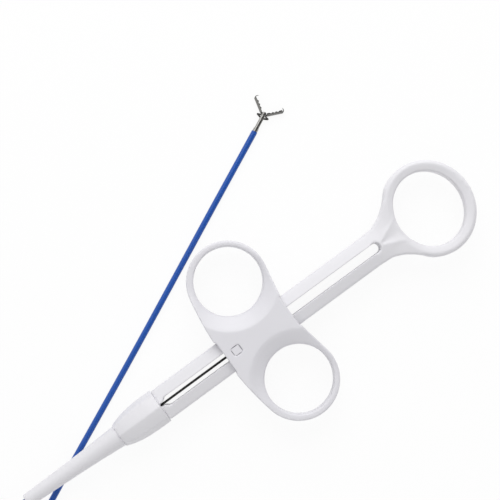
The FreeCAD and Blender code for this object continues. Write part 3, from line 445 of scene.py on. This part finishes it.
def pinched(point):
    """The neck's waist, just before the thumb ring."""
    x, y = point.x / MM, abs(point.y / MM)
    waist = (1 - between(NECK_WAIST, x)) * eased(y, WAIST_FROM, WAIST_FULL)
    return Vector((point.x, point.y * (1 - waist), point.z))


def dished(point, middle):
    """The broad dish between the neck's two arms, from the slot's end to the thumb hole."""
    x, y, z = point.x / MM, abs(point.y / MM), (point.z - middle) / MM
    share = (x - DISH_START) / DISH_LENGTH
    if not 0 < share < DISH_REACH or abs(z) < SLOT_HALF_HEIGHT:
        return point
    across = y / (DISH_HALF_WIDTH + DISH_WIDENING * share)
    if across >= 1:
        return point
    crest = between(NECK_RIDGE, x)
    floor = DISH_FLOOR - DISH_FALL * min(share, 1.0)
    skin = floor + (crest - floor) * across ** DISH_CURVE
    groove = GROOVE_FLOOR - GROOVE_FALL * (x - GROOVE_START) / GROOVE_LENGTH
    half_width = GROOVE_HALF_WIDTH + GROOVE_WIDENING * (x - GROOVE_START) / GROOVE_LENGTH
    groove += (GROOVE_TOP - groove) * y / half_width
    if abs(z) < min(groove, crest) - SKIN_DEPTH:
        return point
    return Vector((point.x, point.y, middle + math.copysign(skin, z) * MM))


def sloped_ring(point, middle):
    """The thumb ring's broad slope, from a crest near its outside down to its hole."""
    x, y = point.x / MM, point.y / MM
    out = math.hypot((x - THUMB_X) / THUMB_HALF_LENGTH, y / THUMB_HALF_WIDTH)
    across = (out - 1) / THUMB_WALL
    if x < RING_FROM or not -0.2 < across < 1.2:
        return point
    gain = between(RING_SKIN, across) / between(RING_SOLID, across) - 1
    gain *= eased(x, RING_FROM, RING_FULL)
    return Vector((point.x, point.y, middle + (point.z - middle) * (1 + gain)))


class FORCEPS_OT_frame(bpy.types.Operator):
    """Thumb ring, neck and slotted stem, in one moulding"""
    bl_idname = "forceps.frame"
    bl_label = "Handle frame"

    def execute(self, context):
        sizes = context.scene.forceps_sizes
        obj = merged_copy("grip", "handle_frame")
        middle = sizes.axis_height
        mould(obj, sizes.frame_voxel, sizes.frame_softness,
              lambda point: pinched(sloped_ring(dished(point, middle), middle)))
        colour = context.scene.forceps_colours.plastic
        dress(obj, "handle", ["handle_frame"],
              moulded_plastic("grip_plastic", colour))
        return {"FINISHED"}


# The finger holes, in mm: their middle's x and distance from the spool's side, their radius, and
# the half height of their rims
FINGER_X, FINGER_TO_SIDE, FINGER_RADIUS, FINGER_RIM = 0.3, 15.3, 12.9, 4.3
# The solid's half heights by the distance from a finger hole's middle
SCOOP_STEPS = ((FINGER_RADIUS, FINGER_RIM), (15.1, FINGER_RIM), (17.2, 5.5), (18.7, 7.2))
SCOOP_CURVE = 1.12
# Cosines of a point's direction against the way to the plate, between which the slope grows
SCOOP_FROM, SCOOP_FULL = -0.5, 0.05


def scooped(point, ring_y, middle):
    """One soft slope from the plate down to a finger hole's rim, on the plate's side of it."""
    across = abs(point.y) - ring_y
    along = point.x - FINGER_X * MM
    reach = math.hypot(along, across) / MM
    rim, edge = SCOOP_STEPS[0], SCOOP_STEPS[-1]
    if not rim[0] < reach < edge[0]:
        return point
    share = (reach - rim[0]) / (edge[0] - rim[0])
    height = rim[1] + (edge[1] - rim[1]) * (1 - (1 - share) ** SCOOP_CURVE)
    gain = height / between(SCOOP_STEPS, reach) - 1
    gain *= eased(-across / MM / reach, SCOOP_FROM, SCOOP_FULL)
    return Vector((point.x, point.y, middle + (point.z - middle) * (1 + gain)))


class FORCEPS_OT_spool(bpy.types.Operator):
    """Sliding finger spool with its two scooped rings"""
    bl_idname = "forceps.spool"
    bl_label = "Finger spool"

    def execute(self, context):
        sizes = context.scene.forceps_sizes
        obj = merged_copy("spool", "finger_spool")
        low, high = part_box("finger_spool")
        ring_y = (high.y - low.y) / 2 - FINGER_TO_SIDE * MM
        middle = sizes.axis_height

        def at_rim(edge):
            for place in [vertex.co for vertex in edge.verts]:
                reach = math.hypot(place.x - FINGER_X * MM, abs(place.y) - ring_y)
                if abs(reach - FINGER_RADIUS * MM) >= 0.1 * MM:
                    return False
                if abs(abs(place.z - middle) - FINGER_RIM * MM) >= 0.05 * MM:
                    return False
            return True

        activate(obj)
        bpy.ops.object.mode_set(mode="EDIT")
        select_edges(obj, at_rim)
        bpy.ops.mesh.bevel(offset=sizes.ring_rounding, segments=4, profile=0.5, affect="EDGES")
        bpy.ops.object.mode_set(mode="OBJECT")
        mould(obj, sizes.spool_voxel, sizes.spool_softness,
              lambda point: scooped(point, ring_y, middle))
        colour = context.scene.forceps_colours.spool
        dress(obj, "spool", ["finger_spool"],
              moulded_plastic("spool_plastic", colour))
        return {"FINISHED"}


# The nose cap: places along it as shares of its length, from its back, and the curve of its sides
CAP_PLACES = (0.0, 0.3, 0.5, 0.65, 0.78, 0.88, 0.95, 1.0)
CAP_CURVE = 3.4
# Radius at its front's corners, radius of its bore and the bore's depth, in mm
CAP_FRONT, CAP_BORE, CAP_BORE_DEPTH = 4.75, 4.42, 2.0


class FORCEPS_OT_nose_cap(bpy.types.Operator):
    """Eight-sided nose cap"""
    bl_idname = "forceps.nose_cap"
    bl_label = "Nose cap"

    def execute(self, context):
        sizes = context.scene.forceps_sizes
        low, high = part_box("nose_cap")
        wide = (high.z - low.z) / 2
        narrow = CAP_FRONT * MM
        sections = []
        for share in CAP_PLACES:
            x = high.x - (high.x - low.x) * share
            sections.append((x, wide - (wide - narrow) * share ** CAP_CURVE))
        sections += [(low.x, CAP_BORE * MM), (low.x + CAP_BORE_DEPTH * MM, CAP_BORE * MM)]
        obj = drawn_along("nose", 8, sections, sizes.axis_height)
        bevel_sharp(obj, sizes.cap_rounding, segments=3, degrees=24)
        smooth_by_angle(obj, 22)
        colour = context.scene.forceps_colours.plastic
        dress(obj, "handle", ["nose_cap"], moulded_plastic("nose_plastic", colour))
        return {"FINISHED"}


# The boot, in mm: how much shorter it is than its solid, its radius at its shoulder and at its
# solid's end, how far it starts inside the nose cap, its clearance on the sheath, and its bore's
# depth
BOOT_SHORTER, BOOT_THICK, BOOT_THIN = 10.8, 4.3, 2.2
BOOT_INSIDE, BOOT_CLEARANCE, BOOT_BORE_DEPTH = 1.2, 0.06, 3.0
BOOT_STEPS = 26


def relief_end():
    """Where the boot ends: nearer to the nose cap than its solid does, as the real one."""
    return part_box("strain_relief")[0].x + BOOT_SHORTER * MM


def relief_bend(sizes, x):
    """How far the soft boot has bent to its side at a place along the handle."""
    left = (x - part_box("strain_relief")[0].x) / sizes.relief_reach
    return sizes.relief_bow * max(0.0, 1 - left)


class FORCEPS_OT_strain_relief(bpy.types.Operator):
    """Long tapered boot around the sheath"""
    bl_idname = "forceps.strain_relief"
    bl_label = "Strain relief"

    def execute(self, context):
        sizes = context.scene.forceps_sizes
        solid_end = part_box("strain_relief")[0].x
        shoulder = solid_end + sizes.relief_reach
        end = relief_end()
        thick = BOOT_THICK * MM
        thin = BOOT_THIN * MM
        sections = [(shoulder + BOOT_INSIDE * MM, thick)]
        for step in range(BOOT_STEPS + 1):
            x = shoulder + (end - shoulder) * step / BOOT_STEPS
            left = (x - solid_end) / sizes.relief_reach
            sections.append((x, thin + (thick - thin) * (0.72 * left + 0.28 * left ** 5)))
        bore = sizes.sheath_diameter / 2 + BOOT_CLEARANCE * MM
        sections += [(end, bore), (end + BOOT_BORE_DEPTH * MM, bore)]
        obj = drawn_along("boot", 64, sections, sizes.axis_height)
        bevel_sharp(obj, sizes.relief_rounding, segments=3, degrees=50)
        for vertex in obj.data.vertices:
            vertex.co.y += relief_bend(sizes, vertex.co.x)
        smooth_by_angle(obj, 40)
        colour = context.scene.forceps_colours.plastic
        dress(obj, "handle", ["strain_relief"],
              moulded_plastic("boot_plastic", colour))
        return {"FINISHED"}


YOKE_NODES = ["tip_ferrule", "tip_clevis"]
JAW_NODES = ["jaw_pivot_pin", "jaw_left", "link_rivet_left", "jaw_right", "link_rivet_right",
             "link_left", "drive_pin", "link_right", "drive_fork", "drive_wire"]
SLIDE_NODES = ["stiffening_tube", "pull_wire", "wire_clamp_screw"]
BRASS_NODES = ["stem_bush", "sheath_crimp"]

# The sheath's points around the boot's end, and before the coil, in mm from the boot's end and
# from the coil's middle
EXIT_POINTS = (8, 0, -14)
COIL_APPROACH = (20, 6)
# Turns in each layer of the coil, from the top down
COIL_LAYERS = (3, 4, 3, 4)
TURN_POINTS = 16
# A curve of this order runs inside its points by this share of a turn's radius
TURN_SHARE = 0.75 + 0.25 * math.cos(2 * math.pi / TURN_POINTS)
# The last share of a turn, in which the sheath moves over to the next one
TURN_CHANGE = 0.16
# The straight stretch, from the coil to the jaws: share of its length, and bow to the side in mm
SHEATH_BOW = ((0.97, 0.15), (0.9, 0.9), (0.8, 1.7), (0.68, 1.75), (0.56, 1.25), (0.42, 0.7),
              (0.28, 0.5), (0.15, 0.35), (0.05, 0.1), (0.0, 0.0))
# How far past the ferrule's middle the sheath goes, in mm
FERRULE_DEPTH = 0.2


def coil_turns(mid_radius, pitch):
    """Radius and height of each turn, in layers that nest in each other, from the top down."""
    rise = pitch * math.sqrt(3) / 2
    turns = []
    for layer, columns in enumerate(COIL_LAYERS):
        height = pitch / 2 + rise * (len(COIL_LAYERS) - 1 - layer)
        order = range(columns)
        inward = layer % 2 == 0
        for column in (reversed(order) if inward else order):
            turns.append((mid_radius + pitch * (column - (columns - 1) / 2), height))
    return turns


def coil_points(centre, turns, heading):
    """Points around the coil, from its side until it leaves in the heading's direction."""
    start = math.pi / 2
    swept = 2 * math.pi * (len(turns) - 1) + (heading - math.pi / 2 - start) % (2 * math.pi)
    steps = round(swept / (2 * math.pi) * TURN_POINTS)
    points = []
    for step in range(steps + 1):
        done = swept * step / steps
        turn = int(done / (2 * math.pi))
        radius, height = turns[min(turn, len(turns) - 1)]
        if turn + 1 < len(turns):
            share = (done / (2 * math.pi) - turn - (1 - TURN_CHANGE)) / TURN_CHANGE
            share = max(0.0, min(1.0, share))
            radius += (turns[turn + 1][0] - radius) * share
            height += (turns[turn + 1][1] - height) * share
        angle = start + done
        reach = radius / TURN_SHARE
        points.append(Vector((centre.x + math.cos(angle) * reach,
                              centre.y + math.sin(angle) * reach, height)))
    return points


def run_points(last, end, heading):
    """Points of the nearly straight stretch, from the coil's last point to the ferrule."""
    along = Vector((math.cos(heading), math.sin(heading), 0))
    aside = Vector((-along.y, along.x, 0))
    straight = (end - last).dot(along)
    points = []
    for share, bow in SHEATH_BOW:
        point = end - along * (straight * share) + aside * (bow * MM)
        points.append(Vector((point.x, point.y, end.z)))
    return points


def round_cord(name, points, diameter):
    """A round cord on one smooth curve."""
    curve = bpy.data.curves.new(name, "CURVE")
    curve.dimensions = "3D"
    spline = curve.splines.new("NURBS")
    spline.points.add(len(points) - 1)
    for slot, point in zip(spline.points, points):
        slot.co = (*point, 1.0)
    spline.order_u = 3
    spline.use_endpoint_u = True
    curve.resolution_u = 5
    curve.bevel_depth = diameter / 2
    curve.bevel_resolution = 4
    curve.use_fill_caps = True
    obj = bpy.data.objects.new(name, curve)
    bpy.context.scene.collection.objects.link(obj)
    return obj


class FORCEPS_OT_sheath(bpy.types.Operator):
    """Sheath: out of the strain relief, through its put-away coil, and straight to the jaws"""
    bl_idname = "forceps.sheath"
    bl_label = "Sheath"

    def execute(self, context):
        sizes = context.scene.forceps_sizes
        level = sizes.axis_height
        low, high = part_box("sheath_coil")
        centre = (low + high) / 2
        points = []
        for reach in EXIT_POINTS:
            x = relief_end() + reach * MM
            points.append(Vector((x, relief_bend(sizes, x), level)))
        exit_point = points[1].copy()
        points += [Vector((centre.x + reach * MM, 0, level)) for reach in COIL_APPROACH]

        pitch = sizes.sheath_diameter
        turns = coil_turns((high.x - low.x) / 2 - pitch * max(COIL_LAYERS) / 2, pitch)
        jaw = mid("jaw_pivot_pin")
        ferrule = mid("tip_ferrule")
        heading = math.atan2(jaw.y - ferrule.y, jaw.x - ferrule.x)
        points += coil_points(centre, turns, heading)
        along = Vector((math.cos(heading), math.sin(heading), 0))
        end = ferrule + along * (FERRULE_DEPTH * MM)
        points += run_points(points.pop(), end, heading)

        obj = round_cord("sheath", points, sizes.sheath_diameter)
        dress(obj, "handle", ["sheath_lead", "sheath_coil", "sheath_run"],
              sheath_coating("sheath_coating", context.scene.forceps_colours.sheath))
        return {"FINISHED"}


# Steel finishes: how bright each is against the stated steel, which is painted light, and how fine
# its marks are by axis
# Painted shade darkens the jaws and, most of all, the slot's tube, wire and screw; the yoke is
# painted a little lighter
STEELS = (("jaw_steel", JAW_NODES, 0.62, (2600.0, 2600.0, 900.0)),
          ("yoke_steel", YOKE_NODES, 1.05, (900.0, 900.0, 900.0)),
          ("tube_steel", SLIDE_NODES, 0.22, (120.0, 6000.0, 6000.0)))


class FORCEPS_OT_metalwork(bpy.types.Operator):
    """Steel, brass and the spool's core: finishes for the pieces that keep their own shape"""
    bl_idname = "forceps.metalwork"
    bl_label = "Metalwork and core"

    def execute(self, context):
        colours = context.scene.forceps_colours
        # Each steel is the stated steel made darker or lighter by its painted light
        finishes = [(nodes, polished_steel(name, shaded(colours.steel, painted_light), marks))
                    for name, nodes, painted_light, marks in STEELS]
        finishes.append((BRASS_NODES, turned_brass("turned_brass", colours.brass)))
        finishes.append((["slider_core"], moulded_plastic("core_plastic", colours.spool)))
        for nodes, material in finishes:
            for node in nodes:
                give(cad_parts[node], material)
                smooth_by_angle(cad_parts[node], 35)
        return {"FINISHED"}


# The floor: its size in metres, its depth below the part in mm, and its share of even white
FLOOR_SIZE, FLOOR_DEPTH, FLOOR_WHITENESS = 6.0, 0.02, 0.92
ROOM_LIGHT = 0.5
# The lamps: place and size in mm, and power in watts
LAMPS = (("key", (330, 575, 520), 760, 4.75),
         ("fill", (-260, -420, 620), 700, 1.0))
# The camera, in mm: where it stands, what it looks at, and the width that it sees there
CAMERA_EYE = (-10.0, 20.0, 600.0)
CAMERA_AIM = (13.8, 26.852, 7.2)
PICTURE_WIDTH = 185.64
SENSOR_WIDTH = 36.0
# How far the picture is turned from the handle's own axes, in degrees
CAMERA_ROLL = 36.21


class FORCEPS_OT_stage(bpy.types.Operator):
    """Floor, lights and camera"""
    bl_idname = "forceps.stage"
    bl_label = "Stage"

    def execute(self, context):
        scene = context.scene
        deselect()
        bpy.ops.mesh.primitive_grid_add(x_subdivisions=8, y_subdivisions=8, size=FLOOR_SIZE,
                                        location=(0, 0, -FLOOR_DEPTH * MM))
        floor = context.object
        floor.name = "floor"
        bpy.ops.object.transform_apply(location=True, rotation=True, scale=True)
        give(floor, floor_card("floor_card", scene.forceps_colours.floor, FLOOR_WHITENESS))
        scene.world = studio("studio", ROOM_LIGHT)

        aim = Vector(CAMERA_AIM) * MM
        for name, place, size, power in LAMPS:
            light = bpy.data.lights.new(name, "AREA")
            light.size = size * MM
            light.energy = power
            lamp = bpy.data.objects.new(name, light)
            scene.collection.objects.link(lamp)
            lamp.location = Vector(place) * MM
            lamp.rotation_euler = (aim - lamp.location).to_track_quat("-Z", "Y").to_euler()

        camera = bpy.data.cameras.new("camera")
        camera.sensor_width = SENSOR_WIDTH
        eye = Vector(CAMERA_EYE) * MM
        camera.lens = camera.sensor_width * (aim - eye).length / (PICTURE_WIDTH * MM)
        camera.clip_start = 10 * MM
        viewer = bpy.data.objects.new("camera", camera)
        scene.collection.objects.link(viewer)
        forward = (aim - eye).normalized()
        roll = math.radians(CAMERA_ROLL)
        right = forward.cross(Vector((math.sin(roll), math.cos(roll), 0))).normalized()
        up = right.cross(forward)
        turned = Matrix((right, up, -forward)).transposed()
        viewer.matrix_world = Matrix.Translation(eye) @ turned.to_4x4()
        scene.camera = viewer
        scene.view_settings.view_transform = "Standard"
        return {"FINISHED"}


class FORCEPS_PT_pieces(bpy.types.Panel):
    """The forceps' pieces, sizes and colours"""
    bl_idname = "FORCEPS_PT_pieces"
    bl_label = "Forceps"
    bl_space_type = "VIEW_3D"
    bl_region_type = "UI"
    bl_category = "Forceps"

    def draw(self, context):
        for operator in OPERATORS:
            self.layout.operator(operator.bl_idname)
        for group in (context.scene.forceps_sizes, context.scene.forceps_colours):
            for name in group.bl_rna.properties.keys():
                if name not in ("rna_type", "name"):
                    self.layout.prop(group, name)


OPERATORS = (FORCEPS_OT_frame, FORCEPS_OT_spool, FORCEPS_OT_nose_cap, FORCEPS_OT_strain_relief,
             FORCEPS_OT_sheath, FORCEPS_OT_metalwork, FORCEPS_OT_stage)
CLASSES = (ForcepsSizes, ForcepsColours, *OPERATORS, FORCEPS_PT_pieces)


def register():
    for made in CLASSES:
        bpy.utils.register_class(made)
    bpy.types.Scene.forceps_sizes = bpy.props.PointerProperty(type=ForcepsSizes)
    bpy.types.Scene.forceps_colours = bpy.props.PointerProperty(type=ForcepsColours)


def unregister():
    del bpy.types.Scene.forceps_colours
    del bpy.types.Scene.forceps_sizes
    for made in reversed(CLASSES):
        bpy.utils.unregister_class(made)


def main():
    register()
    bpy.ops.forceps.frame()
    bpy.ops.forceps.spool()
    bpy.ops.forceps.nose_cap()
    bpy.ops.forceps.strain_relief()
    bpy.ops.forceps.sheath()
    bpy.ops.forceps.metalwork()
    bpy.ops.forceps.stage()


if __name__ == "__main__":
    main()
